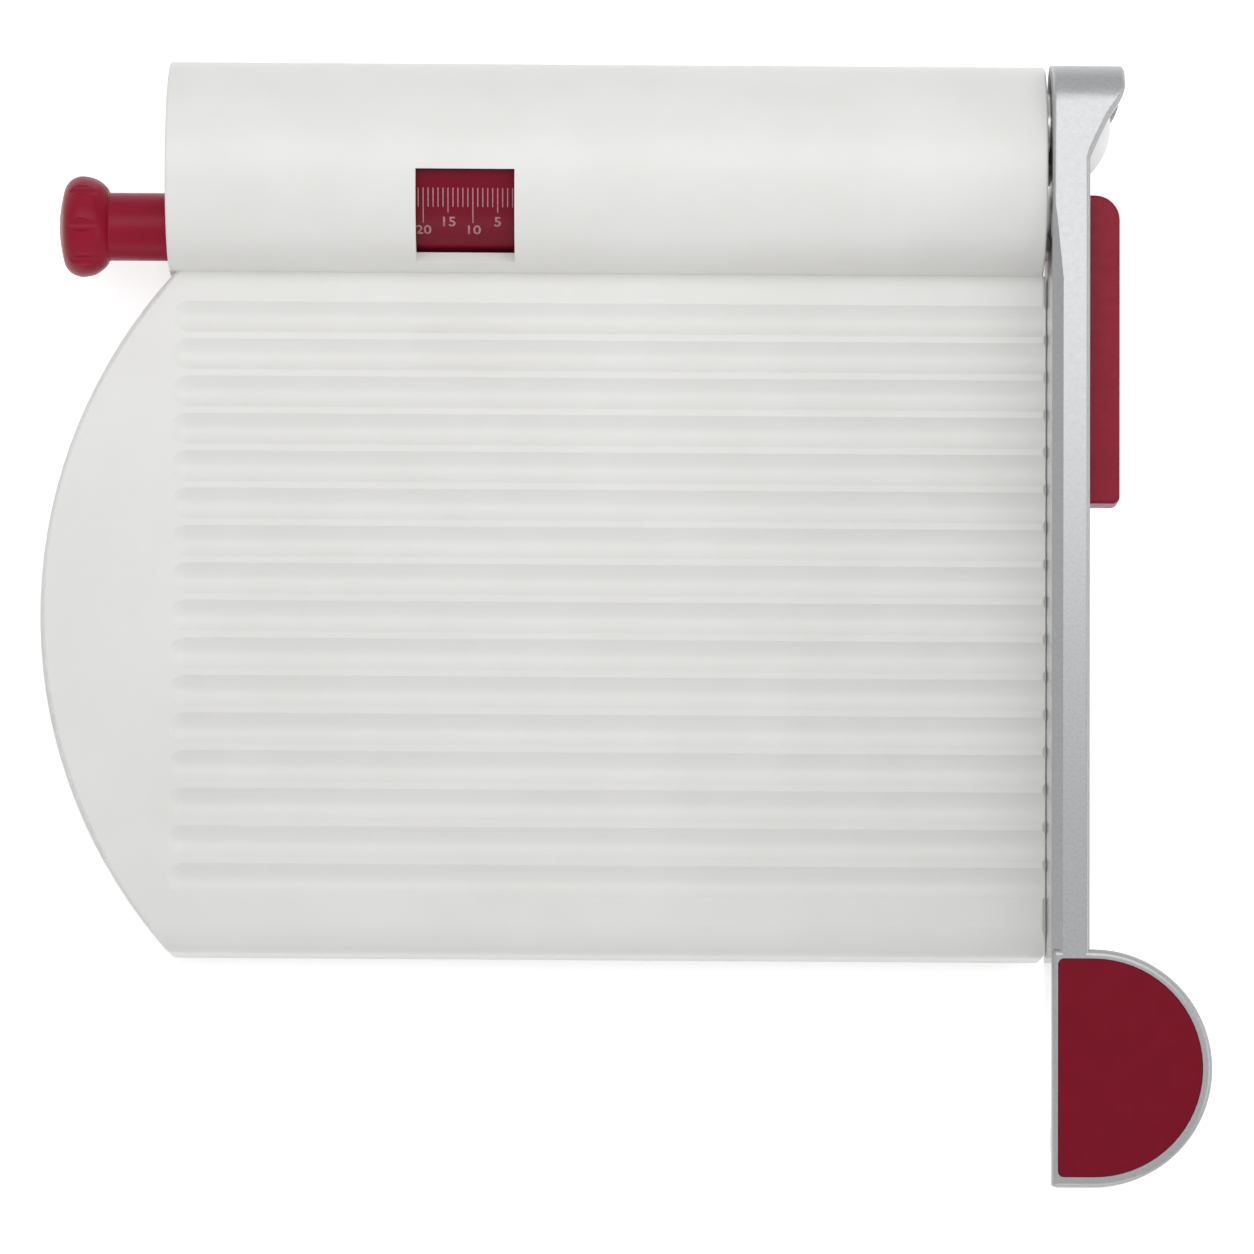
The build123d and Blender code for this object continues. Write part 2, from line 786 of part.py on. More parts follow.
def make_scale_carriage():
    inner = carriage_outer_radius - carriage_wall
    skin = sector(inner, carriage_outer_radius, carriage_rear_angle, carriage_front_angle)
    body = slab_x(skin, carriage_left_x, carriage_right_x)
    web = sector(0, inner + weld, carriage_rear_angle, carriage_front_angle)
    body += slab_x(web, carriage_left_x, carriage_left_x + carriage_web)
    body += slab_x(web, carriage_right_x - carriage_web, carriage_right_x)

    # Block round the spindle, kept inside the hood
    core = area(
        axis_y - nut_block_reach, axis_y - nut_block_rear,
        axis_z - nut_block_half_height, axis_z + nut_block_half_height,
    )
    limit = half_disc(nut_block_reach) + area(
        axis_y - nut_block_reach, axis_y, axis_z - nut_block_half_height, axis_z,
    )
    body += slab_x(core & limit, carriage_left_x, carriage_block_right_x)

    # Leg that holds the slide bar, and arm that rides on the guide rod
    top = axis_z - nut_block_half_height + weld
    body += block(
        carriage_left_x, carriage_block_right_x, spindle_y - bar_block_half_width,
        spindle_y + bar_block_half_width, bar_block_bottom_z, top,
    )
    y, z = guide_rod_place()
    half = guide_rod_radius + guide_arm_wall
    body += block(carriage_left_x, carriage_block_right_x, spindle_y, y + half, z - half, top)
    body += block(carriage_left_x, carriage_block_right_x, y - half, y + half, z - half, z + half)
    left = carriage_left_x - overrun
    right = carriage_block_right_x + overrun
    body -= rod_x(guide_rod_radius + run_gap, left, right, y, z)

    # Bores for the nut, the spindle, the bar and its pin
    body -= rod_x(nut_radius + fit_gap, left, carriage_left_x + nut_length, spindle_y, axis_z)
    body -= rod_x(spindle_radius + screw_room, left, carriage_right_x + overrun, spindle_y, axis_z)
    body -= rod_x(bar_radius + fit_gap, bar_left_x, right, spindle_y, bar_z)
    return body - bar_pin_rod(bar_pin_radius + fit_gap, -overrun, fit_gap)


def bar_pin_rod(radius, short, past):
    x = carriage_block_right_x - bar_pin_inset
    high = bar_z + bar_radius + bar_pin_past + past
    return rod_z(radius, x, spindle_y, bar_block_bottom_z + short, high)


def make_screw_nut():
    return tube_x(
        nut_radius, spindle_radius + run_gap, carriage_left_x, carriage_left_x + nut_length,
        spindle_y, axis_z,
    )


def make_slide_bar():
    bar = rod_x(bar_radius, bar_left_x, bar_right_x, spindle_y, bar_z)
    bar -= block(
        stop_left_x, bar_right_x + overrun, spindle_y - bar_radius, spindle_y + bar_radius,
        bar_z - bar_radius - overrun, bar_z - bar_radius + bar_flat_depth,
    )
    bar -= bar_pin_rod(bar_pin_radius + fit_gap, -overrun, fit_gap)
    reach = stop_right_x - stop_screw_sink - stop_screw_length - overrun
    return bar - rod_x(screw_radius + fit_gap, reach, bar_right_x + overrun, spindle_y, bar_z)


def make_stop_block():
    body = block(stop_left_x, stop_right_x, stop_front_y, stop_rear_y, stop_bottom_z, stop_top_z)
    body += block(
        stop_left_x, stop_right_x, spindle_y - stop_leg_front, stop_rear_y,
        stop_leg_bottom_z, stop_bottom_z + weld,
    )
    uprights = body.edges().filter_by(Axis.Z).group_by(Axis.X)[-1].sort_by(Axis.Y)
    body = fillet(uprights[-1], stop_rear_round)
    uprights = body.edges().filter_by(Axis.Z).sort_by(Axis.Y)[0:2].sort_by(Axis.X)
    body = fillet(uprights[-1], stop_front_round)
    body = fillet(body.faces().sort_by(Axis.Z)[-1].edges(), stop_edge_round)
    socket = rod_x(bar_radius + fit_gap, stop_left_x - overrun, bar_right_x, spindle_y, bar_z)
    socket -= block(
        stop_left_x - overrun, bar_right_x, spindle_y - bar_radius - overrun,
        spindle_y + bar_radius + overrun, bar_z - bar_radius - overrun,
        bar_z - bar_radius + bar_flat_depth - fit_gap,
    )
    body -= socket
    hole = flat_screw(
        screw_head_radius + fit_gap, screw_head_height, screw_radius + screw_hole_gap,
        stop_end_wall + overrun,
    )
    seat_x = stop_right_x - stop_screw_sink
    body -= rod_x(screw_head_radius + fit_gap, seat_x, stop_right_x + overrun, spindle_y, bar_z)
    return body - aimed(seat_x, spindle_y, bar_z, (1, 0, 0)) * hole


def make_stop_screw():
    screw = flat_screw(screw_head_radius, screw_head_height, screw_radius, stop_screw_length)
    return aimed(stop_right_x - stop_screw_sink, spindle_y, bar_z, (1, 0, 0)) * screw


def flare_cutter(front):
    # Takes off what stands outside the flared right side
    start = (lever_right_x, pivot_y - flare_start)
    end = (hub_right_x, pivot_y + flare_end)
    points = [start]
    for share_y, share_x in flare_shares:
        y = start[1] + (end[1] - start[1]) * share_y
        points.append((start[0] + (end[0] - start[0]) * share_x, y))
    points.append(end)
    line = Spline(*points)
    corner_x = hub_right_x + overrun
    low_y = front - overrun
    edge = [
        line,
        Line(end, (corner_x, end[1])),
        Line((corner_x, end[1]), (corner_x, low_y)),
        Line((corner_x, low_y), (lever_right_x, low_y)),
        Line((lever_right_x, low_y), start),
    ]
    return slab_z(make_face(Wire(edge)), pivot_z - hub_radius - overrun, arm_top_z + overrun)


def make_hub_shoulder(front, cutter):
    side = area(front, pivot_y + hub_rear_reach, pivot_z, arm_top_z)
    corner = side.vertices().sort_by(Axis.X)[-2:].sort_by(Axis.Y)[-1]
    side = fillet(corner, hub_rear_round)
    shoulder = slab_x(side, lever_left_x, hub_right_x) - cutter
    rims = ShapeList()
    for edge in shoulder.edges():
        lean = edge.tangent_at(0.5)
        upright = abs(lean.Z) > rim_lean_share
        across = abs(lean.X) > rim_lean_share
        if edge.center().Z > pivot_z + weld and not upright and not across:
            rims.append(edge)
    return fillet(rims, arm_edge_round)


def make_lever_arm():
    # Hub: barrel round the pivot, square shoulder above it, flared right side
    front = pivot_y - hub_radius
    cutter = flare_cutter(front)
    barrel = rod_x(hub_radius, lever_left_x, hub_right_x, pivot_y, pivot_z) - cutter
    hub = make_hub_shoulder(front, cutter) + barrel
    hub -= rod_x(cap_radius + fit_gap, pocket_floor_x, hub_right_x + overrun, pivot_y, pivot_z)

    # Arm, and the D of the handle
    arm = block(lever_left_x, lever_right_x, handle_y, front + weld, arm_under_z, arm_top_z)
    arm = fillet(arm.edges().filter_by(Axis.Y).group_by(Axis.Z)[-1], arm_edge_round)
    y1 = pivot_y - arm_chamfer_end
    arm -= corner_prism(handle_y, y1, arm_chamfer)
    arm -= corner_taper(y1, y1 + arm_chamfer_blend, arm_chamfer, arm_edge_round / 2)
    shape = d_sketch(handle_radius, lever_left_x, handle_corner_round)
    disc = slab_z(shape, arm_under_z, arm_top_z)
    rim = disc.faces().sort_by(Axis.Z)[-1].edges().sort_by(Axis.X)[1:]
    disc = fillet(rim, handle_edge_round)
    lever = hub + arm + disc

    # Rebate for the blade, pocket for the inlay
    lever -= block(
        lever_left_x - overrun, blade_right_x + fit_gap, handle_y - handle_radius - overrun,
        blade_rear_y + fit_gap, arm_under_z - overrun, blade_top_z + blade_rebate_gap,
    )
    lever -= slab_z(grip_sketch(0), grip_floor_z, arm_top_z + overrun)
    web_z = grip_floor_z - grip_boss_length - fit_gap
    for x, y in grip_boss_places():
        lever -= rod_z(grip_boss_radius + grip_gap, x, y, web_z, grip_floor_z + overrun)
        lever -= rod_z(grip_screw_radius + screw_hole_gap, x, y, arm_under_z - overrun, grip_floor_z)
        lever -= rod_z(
            grip_screw_head_radius + screw_hole_gap, x, y, arm_under_z - overrun, web_z - grip_floor_web,
        )

    # Seats of the axle, the stop pin and the blade screws
    half = axle_square / 2 + fit_gap
    lever -= block(
        lever_left_x - overrun, pocket_floor_x + overrun, pivot_y - half, pivot_y + half,
        pivot_z - half, pivot_z + half,
    )
    y, z = pin_place(stop_pin_angle)
    seat = lever_left_x + stop_pin_seat
    lever -= rod_x(stop_pin_radius + fit_gap, lever_left_x - overrun, seat, y, z)
    for y in blade_screw_places():
        depth = lever_left_x + blade_screw_length + fit_gap
        lever -= rod_x(screw_radius + fit_gap, lever_left_x, depth, y, blade_screw_z)
    return lever


def corner_prism(y0, y1, size):
    big = size + overrun
    profile = make_face(Polyline(
        (lever_left_x - overrun, arm_top_z + overrun),
        (lever_left_x - overrun, arm_top_z - big),
        (lever_left_x + big, arm_top_z + overrun), close=True,
    ))
    return extrude(Plane(origin=(0, y0, 0), x_dir=(1, 0, 0), z_dir=(0, -1, 0)) * profile, amount=y0 - y1)


def corner_taper(y0, y1, size, end_size):
    near = Plane(origin=(0, y0, 0), x_dir=(1, 0, 0), z_dir=(0, -1, 0))
    far = Plane(origin=(0, y1, 0), x_dir=(1, 0, 0), z_dir=(0, -1, 0))
    faces = []
    for plane, depth in ((near, size), (far, end_size)):
        big = depth + overrun
        faces.append(plane * make_face(Polyline(
            (lever_left_x - overrun, arm_top_z + overrun),
            (lever_left_x - overrun, arm_top_z - big),
            (lever_left_x + big, arm_top_z + overrun), close=True,
        )))
    return loft(faces, ruled=True)


def d_sketch(radius, left_x, corner_round):
    disc = Pos(handle_x, handle_y) * Circle(radius)
    right = area(handle_x, handle_x + 2 * radius, handle_y - radius, handle_y + radius)
    left = area(left_x, handle_x, handle_y - radius, handle_y + radius)
    shape = (disc & right) + left
    return fillet(shape.vertices().sort_by(Axis.X)[0:2], corner_round)


def grip_sketch(gap):
    return d_sketch(grip_radius - gap, grip_side_x + gap, grip_corner_round)


def grip_boss_places():
    x = handle_x + grip_boss_shift
    reach = grip_radius - grip_boss_inset
    return [(x, handle_y - reach), (x, handle_y + reach)]


def make_handle_grip():
    grip = slab_z(grip_sketch(grip_gap), grip_floor_z, grip_top_z)
    for x, y in grip_boss_places():
        grip += rod_z(grip_boss_radius, x, y, grip_floor_z - grip_boss_length, grip_floor_z + weld)
    for x, y in grip_boss_places():
        top = grip_screw_seat_z() + grip_screw_length + fit_gap
        grip -= rod_z(grip_screw_radius + fit_gap, x, y, grip_floor_z - grip_boss_length - overrun, top)
    return grip


def grip_screw_seat_z():
    return grip_floor_z - grip_boss_length - fit_gap - grip_floor_web


def make_grip_screws():
    screws = []
    for x, y in grip_boss_places():
        screw = pan_screw(
            grip_screw_head_radius, grip_screw_head_height, grip_screw_radius, grip_screw_length,
        )
        screws.append(aimed(x, y, grip_screw_seat_z(), (0, 0, -1)) * screw)
    return screws


def blade_screw_places():
    first = blade_rear_y - blade_screw_end
    last = blade_tip_y + blade_screw_end
    steps = blade_screw_count - 1
    return [first + (last - first) * step / steps for step in range(blade_screw_count)]


def blade_edge_points():
    bend_y = board_front_y - blade_bend_length
    return [
        (blade_rear_y, blade_edge_z), (board_front_y, blade_edge_z),
        (bend_y, blade_edge_z + blade_bend_rise), (blade_tip_y, blade_tip_edge_z),
    ]


def bevel_cut(start, end):
    run = math.dist(start, end)
    along = (0, (end[0] - start[0]) / run, (end[1] - start[1]) / run)
    past = blade_bevel_height
    origin = (0, start[0] - along[1] * past, start[1] - along[2] * past)
    plane = Plane(origin=origin, x_dir=(1, 0, 0), z_dir=along)
    depth = blade_bevel_depth
    over = depth * bevel_over_share
    rise = past * bevel_over_share
    profile = make_face(Polyline(
        (blade_right_x - depth - over, -rise), (blade_right_x + over, past + rise),
        (blade_right_x + over, -rise), close=True,
    ))
    return extrude(plane * profile, amount=run + 2 * past)


def make_blade():
    points = blade_edge_points()
    outline = points + [(blade_tip_y, blade_top_z), (blade_rear_y, blade_top_z)]
    blade = slab_x(make_face(Polyline(*outline, close=True)), lever_left_x, blade_right_x)
    for start, end in zip(points, points[1:]):
        blade -= bevel_cut(start, end)
    for y in blade_screw_places():
        hole = flat_screw(
            blade_screw_head_radius + fit_gap, blade_screw_head_height, screw_radius + fit_gap,
            blade_thickness + overrun,
        )
        blade -= aimed(lever_left_x, y, blade_screw_z, (-1, 0, 0)) * hole
    return blade


def make_blade_screws():
    screws = []
    for y in blade_screw_places():
        screw = flat_screw(
            blade_screw_head_radius, blade_screw_head_height, screw_radius, blade_screw_length,
        )
        screws.append(aimed(lever_left_x, y, blade_screw_z, (-1, 0, 0)) * screw)
    return screws


def axle_left_x():
    return ring_gap_x - ring_thickness - axle_end_past_ring


def make_pivot_axle():
    axle = rod_x(axle_radius, axle_left_x(), lever_left_x, pivot_y, pivot_z)
    half = axle_square / 2
    square_end = pocket_floor_x - axle_square_short
    axle += block(
        lever_left_x - weld, square_end, pivot_y - half, pivot_y + half, pivot_z - half, pivot_z + half,
    )
    tip = pocket_floor_x + washer_thickness + nut_height + axle_thread_end
    axle += rod_x(axle_thread_radius, square_end - weld, tip, pivot_y, pivot_z)
    axle -= tube_x(
        axle_radius + overrun, axle_radius - ring_seat_depth,
        ring_gap_x - ring_thickness - fit_gap, ring_gap_x + fit_gap, pivot_y, pivot_z,
    )
    return axle


def make_axle_ring():
    inner = axle_radius - ring_seat_depth + fit_gap
    return tube_x(axle_radius + ring_height, inner, ring_gap_x - ring_thickness, ring_gap_x, pivot_y, pivot_z)


def make_thrust_washer():
    gap = lever_left_x - rear_right_x - thrust_washer_thickness
    x0 = rear_right_x + gap / 2
    return tube_x(
        thrust_washer_radius, axle_radius + run_gap, x0, x0 + thrust_washer_thickness, pivot_y, pivot_z,
    )


def make_axle_washer():
    inner = axle_thread_radius + screw_hole_gap
    return tube_x(washer_radius, inner, pocket_floor_x, pocket_floor_x + washer_thickness, pivot_y, pivot_z)


def make_axle_nut():
    x0 = pocket_floor_x + washer_thickness
    hexagon = Pos(pivot_y, pivot_z) * RegularPolygon(nut_width / 2, 6, major_radius=False)
    nut = slab_x(hexagon, x0, x0 + nut_height)
    hole = rod_x(axle_thread_radius + fit_gap, x0 - overrun, x0 + nut_height + overrun, pivot_y, pivot_z)
    return nut - hole


def dome(x0, radius, skirt, height):
    edge_x = x0 + skirt
    sphere = (radius ** 2 + height ** 2) / (2 * height)
    half = radius / 2
    mid_x = edge_x + height - sphere + math.sqrt(sphere ** 2 - half ** 2)
    profile = [
        Line((x0, 0), (x0, radius)),
        Line((x0, radius), (edge_x, radius)),
        ThreePointArc((edge_x, radius), (mid_x, half), (edge_x + height, 0)),
        Line((edge_x + height, 0), (x0, 0)),
    ]
    return Pos(0, pivot_y, pivot_z) * revolve(make_face(Wire(profile)), Axis.X)


def make_pivot_cap():
    shell = dome(pocket_floor_x, cap_radius, cap_skirt, cap_dome)
    inside = dome(pocket_floor_x - overrun, cap_radius - cap_wall, cap_skirt + overrun, cap_dome - cap_wall)
    return shell - inside


def make_lever_stop_pin():
    y, z = pin_place(stop_pin_angle)
    x0 = rear_right_x - housing_wall + stop_pin_end_gap
    return rod_x(stop_pin_radius, x0, lever_left_x + stop_pin_seat, y, z)


nodes = {
    "base_board": make_base_board(),
    "bottom_cover": make_bottom_cover(),
    "cover_screws": make_cover_screws(),
    "plate_screws": make_plate_screws(),
    "hood_screws": make_hood_screws(),
    "housing_hood": make_housing_hood(),
    "left_bearing_plate": make_left_plate(),
    "inner_bulkhead": make_inner_bulkhead(),
    "right_bearing_plate": make_right_plate(),
    "guide_rod": make_guide_rod(),
    "spindle_bush": make_bush(left_plate_x, spindle_radius, spindle_bush_wall, spindle_y, axis_z),
    "bar_bush_inner": make_bush(bulkhead_x, bar_radius, bar_bush_wall, spindle_y, bar_z),
    "bar_bush_outer": make_bush(right_plate_x, bar_radius, bar_bush_wall, spindle_y, bar_z),
    "axle_bush_inner": make_bush(bulkhead_x, axle_radius, axle_bush_wall, pivot_y, pivot_z),
    "axle_bush_outer": make_bush(right_plate_x, axle_radius, axle_bush_wall, pivot_y, pivot_z),
    "thrust_washer": make_thrust_washer(),
    "adjusting_knob": make_adjusting_knob(),
    "lead_screw": make_lead_screw(),
    "knob_screw": make_knob_screw(),
    "spindle_ring": make_spindle_ring(),
    "scale_carriage": make_scale_carriage(),
    "screw_nut": make_screw_nut(),
    "slide_bar": make_slide_bar(),
    "bar_pin": bar_pin_rod(bar_pin_radius, bar_pin_short, 0),
    "stop_block": make_stop_block(),
    "stop_screw": make_stop_screw(),
    "lever_arm": make_lever_arm(),
    "handle_grip": make_handle_grip(),
    "grip_screws": make_grip_screws(),
    "blade": make_blade(),
    "blade_screws": make_blade_screws(),
    "pivot_axle": make_pivot_axle(),
    "axle_ring": make_axle_ring(),
    "axle_washer": make_axle_washer(),
    "axle_nut": make_axle_nut(),
    "pivot_cap": make_pivot_cap(),
    "lever_stop_pin": make_lever_stop_pin(),
}
for name, place in foot_places().items():
    nodes[name] = make_foot(place)

os.makedirs("parts", exist_ok=True)
for name, shape in nodes.items():
    if isinstance(shape, list):
        shape = Compound(children=shape)
    export_step(shape, "parts/" + name + ".step")
    print(name, "volume", round(shape.volume, 1))
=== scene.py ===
import math
import bmesh
import bpy
from mathutils import Matrix, Vector


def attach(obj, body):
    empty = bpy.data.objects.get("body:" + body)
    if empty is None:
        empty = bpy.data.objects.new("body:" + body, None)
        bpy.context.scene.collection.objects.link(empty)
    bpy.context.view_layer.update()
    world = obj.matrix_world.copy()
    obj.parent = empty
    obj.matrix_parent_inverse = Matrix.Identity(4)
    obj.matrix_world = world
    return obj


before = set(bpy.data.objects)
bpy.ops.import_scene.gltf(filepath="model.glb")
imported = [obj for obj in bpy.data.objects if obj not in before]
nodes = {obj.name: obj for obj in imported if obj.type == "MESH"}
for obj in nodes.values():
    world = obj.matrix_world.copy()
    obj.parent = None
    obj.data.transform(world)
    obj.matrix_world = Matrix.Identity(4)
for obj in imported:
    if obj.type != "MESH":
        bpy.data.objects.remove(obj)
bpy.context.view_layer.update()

scene = bpy.context.scene

# Places from the part, in metres
AXIS_Y = 0.0925
AXIS_Z = 0.025
CARRIAGE_R = 0.0182


def new_material(name):
    mat = bpy.data.materials.new(name)
    mat.use_nodes = True
    tree = mat.node_tree
    shader = tree.nodes["Principled BSDF"]
    return mat, tree, shader


def node(tree, kind, **values):
    n = tree.nodes.new(kind)
    for key, value in values.items():
        setattr(n, key, value)
    return n


def noise(tree, scale, detail=3.0, rough=0.55, stretch=(1, 1, 1)):
    coords = node(tree, "ShaderNodeTexCoord")
    mapping = node(tree, "ShaderNodeMapping")
    mapping.inputs["Scale"].default_value = stretch
    tree.links.new(coords.outputs["Object"], mapping.inputs["Vector"])
    tex = node(tree, "ShaderNodeTexNoise")
    tex.inputs["Scale"].default_value = scale
    tex.inputs["Detail"].default_value = detail
    tex.inputs["Roughness"].default_value = rough
    tree.links.new(mapping.outputs["Vector"], tex.inputs["Vector"])
    return tex


def vary_colour(tree, shader, dark, light, scale, low=0.35, high=0.65, stretch=(1, 1, 1)):
    tex = noise(tree, scale, stretch=stretch)
    ramp = node(tree, "ShaderNodeValToRGB")
    ramp.color_ramp.elements[0].position = low
    ramp.color_ramp.elements[0].color = dark
    ramp.color_ramp.elements[1].position = high
    ramp.color_ramp.elements[1].color = light
    tree.links.new(tex.outputs["Fac"], ramp.inputs["Fac"])
    tree.links.new(ramp.outputs["Color"], shader.inputs["Base Color"])


def vary_roughness(tree, shader, low, high, scale, stretch=(1, 1, 1)):
    tex = noise(tree, scale, stretch=stretch)
    spread = node(tree, "ShaderNodeMapRange")
    spread.inputs["From Min"].default_value = 0.3
    spread.inputs["From Max"].default_value = 0.7
    spread.inputs["To Min"].default_value = low
    spread.inputs["To Max"].default_value = high
    tree.links.new(tex.outputs["Fac"], spread.inputs["Value"])
    tree.links.new(spread.outputs["Result"], shader.inputs["Roughness"])


def add_bump(tree, shader, scale, strength, distance, stretch=(1, 1, 1), detail=2.0, below=None):
    tex = noise(tree, scale, detail=detail, stretch=stretch)
    bump = node(tree, "ShaderNodeBump")
    bump.inputs["Strength"].default_value = strength
    bump.inputs["Distance"].default_value = distance
    tree.links.new(tex.outputs["Fac"], bump.inputs["Height"])
    if below is not None:
        tree.links.new(below.outputs["Normal"], bump.inputs["Normal"])
    tree.links.new(bump.outputs["Normal"], shader.inputs["Normal"])
    return bump


def white_plastic(name, dark, light):
    mat, tree, shader = new_material(name)
    vary_colour(tree, shader, dark, light, 60)
    vary_roughness(tree, shader, 0.34, 0.44, 400)
    shader.inputs["Specular IOR Level"].default_value = 0.40
    add_bump(tree, shader, 2600, 0.08, 0.0001)
    return mat


def red_plastic(name, base, dark, rough, gloss):
    mat, tree, shader = new_material(name)
    vary_colour(tree, shader, dark, base, 180)
    vary_roughness(tree, shader, rough - 0.05, rough + 0.06, 600)
    shader.inputs["Specular IOR Level"].default_value = gloss
    add_bump(tree, shader, 2200, 0.10, 0.0001)
    return mat


def silver_paint():
    mat, tree, shader = new_material("silver_casting")
    shader.inputs["Metallic"].default_value = 0.9
    vary_colour(tree, shader, (0.325, 0.328, 0.334, 1), (0.375, 0.378, 0.384, 1), 1800, 0.3, 0.7)
    vary_roughness(tree, shader, 0.30, 0.38, 900)
    base = add_bump(tree, shader, 4200, 0.05, 0.0001)
    add_bump(tree, shader, 250, 0.06, 0.0002, below=base)
    return mat


def polished_steel():
    mat, tree, shader = new_material("polished_blade")
    shader.inputs["Metallic"].default_value = 1.0
    vary_colour(tree, shader, (0.50, 0.50, 0.495, 1), (0.58, 0.58, 0.575, 1), 300, stretch=(1, 0.05, 4))
    vary_roughness(tree, shader, 0.06, 0.16, 900, stretch=(1, 0.04, 6))
    add_bump(tree, shader, 1500, 0.04, 0.00005, stretch=(1, 0.03, 6))
    return mat


def plain_metal(name, dark, light, rough, stretch=(1, 1, 1)):
    mat, tree, shader = new_material(name)
    shader.inputs["Metallic"].default_value = 1.0
    vary_colour(tree, shader, dark, light, 500, stretch=stretch)
    vary_roughness(tree, shader, rough - 0.06, rough + 0.08, 1500, stretch=stretch)
    add_bump(tree, shader, 3000, 0.12, 0.00005, stretch=stretch)
    return mat


def grey_plastic():
    mat, tree, shader = new_material("grey_plastic")
    vary_colour(tree, shader, (0.50, 0.50, 0.49, 1), (0.58, 0.58, 0.57, 1), 90)
    vary_roughness(tree, shader, 0.48, 0.62, 500)
    add_bump(tree, shader, 1800, 0.25, 0.0001)
    return mat


def rubber():
    mat, tree, shader = new_material("rubber")
    vary_colour(tree, shader, (0.020, 0.020, 0.021, 1), (0.038, 0.038, 0.039, 1), 250)
    vary_roughness(tree, shader, 0.70, 0.85, 700)
    add_bump(tree, shader, 2600, 0.35, 0.0001)
    return mat


def scale_ink():
    mat, tree, shader = new_material("scale_ink")
    vary_colour(tree, shader, (0.36, 0.168, 0.200, 1), (0.43, 0.222, 0.255, 1), 1500)
    shader.inputs["Roughness"].default_value = 0.55
    return mat


WHITE = white_plastic("white_plastic", (0.770, 0.766, 0.748, 1), (0.792, 0.789, 0.773, 1))
# Brighter copy of the white plastic for the pivot cap: painted light, making up for the shade the cap
# sits in under the lever
CAP_PAINTED_LIGHT_WHITE = white_plastic("cap_painted_light_white", (0.875, 0.875, 0.880, 1), (0.900, 0.900, 0.905, 1))
RED = red_plastic("red_plastic", (0.290, 0.0040, 0.026, 1), (0.262, 0.0030, 0.022, 1), 0.34, 0.17)
# Darker copy of the red plastic for the scale carriage: painted shade, for the shade it lies in under the
# hood's window
RED_SCALE_PAINTED_SHADE = red_plastic("red_scale_painted_shade", (0.183, 0.0025, 0.017, 1), (0.166, 0.0020, 0.014, 1), 0.34, 0.14)
RED_GRIP = red_plastic("red_grip", (0.205, 0.0030, 0.0165, 1), (0.187, 0.0025, 0.0145, 1), 0.45, 0.12)
SILVER = silver_paint()
BLADE = polished_steel()
STEEL = plain_metal("steel", (0.50, 0.50, 0.50, 1), (0.62, 0.62, 0.61, 1), 0.30)
BRASS = plain_metal("brass", (0.60, 0.43, 0.18, 1), (0.72, 0.54, 0.25, 1), 0.32)
GREY = grey_plastic()
RUBBER = rubber()
INK = scale_ink()

coats = {
    "base_board": WHITE, "housing_hood": WHITE, "pivot_cap": CAP_PAINTED_LIGHT_WHITE,
    "bottom_cover": GREY, "left_bearing_plate": GREY, "inner_bulkhead": GREY, "right_bearing_plate": GREY,
    "adjusting_knob": RED, "scale_carriage": RED_SCALE_PAINTED_SHADE, "stop_block": RED, "handle_grip": RED_GRIP,
    "lever_arm": SILVER, "blade": BLADE,
    "spindle_bush": BRASS, "bar_bush_inner": BRASS, "bar_bush_outer": BRASS,
    "axle_bush_inner": BRASS, "axle_bush_outer": BRASS, "screw_nut": BRASS,
    "foot_front_left": RUBBER, "foot_front_right": RUBBER,
    "foot_rear_left": RUBBER, "foot_rear_right": RUBBER,
}
for name, obj in nodes.items():
    mat = coats.get(name, STEEL)
    if not obj.material_slots:
        obj.data.materials.append(mat)
    for slot in obj.material_slots:
        slot.material = mat


# Thickness scale: marks and numbers wrapped round the carriage
SCALE_ZERO_X = -0.02047
TICK_STEP = 0.001
TICK_COUNT = 23
TICK_HALF = 0.00011
TICK_TOP = math.radians(20.8)
TICK_END = math.radians(33.6)
TICK_FIVE = math.radians(37.6)
TICK_TEN = math.radians(45.4)
MARK_LIFT = 0.00004
MARK_DEEP = 0.00015
STRIP_STEPS = 6
NUMBER_SIZE = 0.0033
NUMBER_SPREAD = 0.00005
FIVES_PLACE = 44.9
TENS_PLACE = 51.6


def on_drum(x, turn, lift):
    r = CARRIAGE_R + lift
    return (x, AXIS_Y - r * math.sin(turn), AXIS_Z + r * math.cos(turn))


def drum_strip(bm, x0, x1, turn0, turn1):
    rows = []
    for i in range(STRIP_STEPS + 1):
        turn = turn0 + (turn1 - turn0) * i / STRIP_STEPS
        row = [bm.verts.new(on_drum(x, turn, lift)) for x, lift in
               ((x0, -MARK_DEEP), (x0, MARK_LIFT), (x1, MARK_LIFT), (x1, -MARK_DEEP))]
        rows.append(row)
    for a, b in zip(rows, rows[1:]):
        for k in range(4):
            m = (k + 1) % 4
            bm.faces.new((a[k], a[m], b[m], b[k]))
    bm.faces.new(rows[0])
    bm.faces.new(list(reversed(rows[-1])))


def finish_bm(bm, name, mat, body):
    bmesh.ops.recalc_face_normals(bm, faces=bm.faces)
    mesh = bpy.data.meshes.new(name)
    bm.to_mesh(mesh)
    bm.free()
    obj = bpy.data.objects.new(name, mesh)
    scene.collection.objects.link(obj)
    obj.data.materials.append(mat)
    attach(obj, body)


bm = bmesh.new()
for count in range(TICK_COUNT):
    x = SCALE_ZERO_X - count * TICK_STEP
    end = TICK_END
    if count % 10 == 0:
        end = TICK_TEN
    elif count % 5 == 0:
        end = TICK_FIVE
    drum_strip(bm, x - TICK_HALF, x + TICK_HALF, TICK_TOP, end)
finish_bm(bm, "scale_marks", INK, "adjuster")


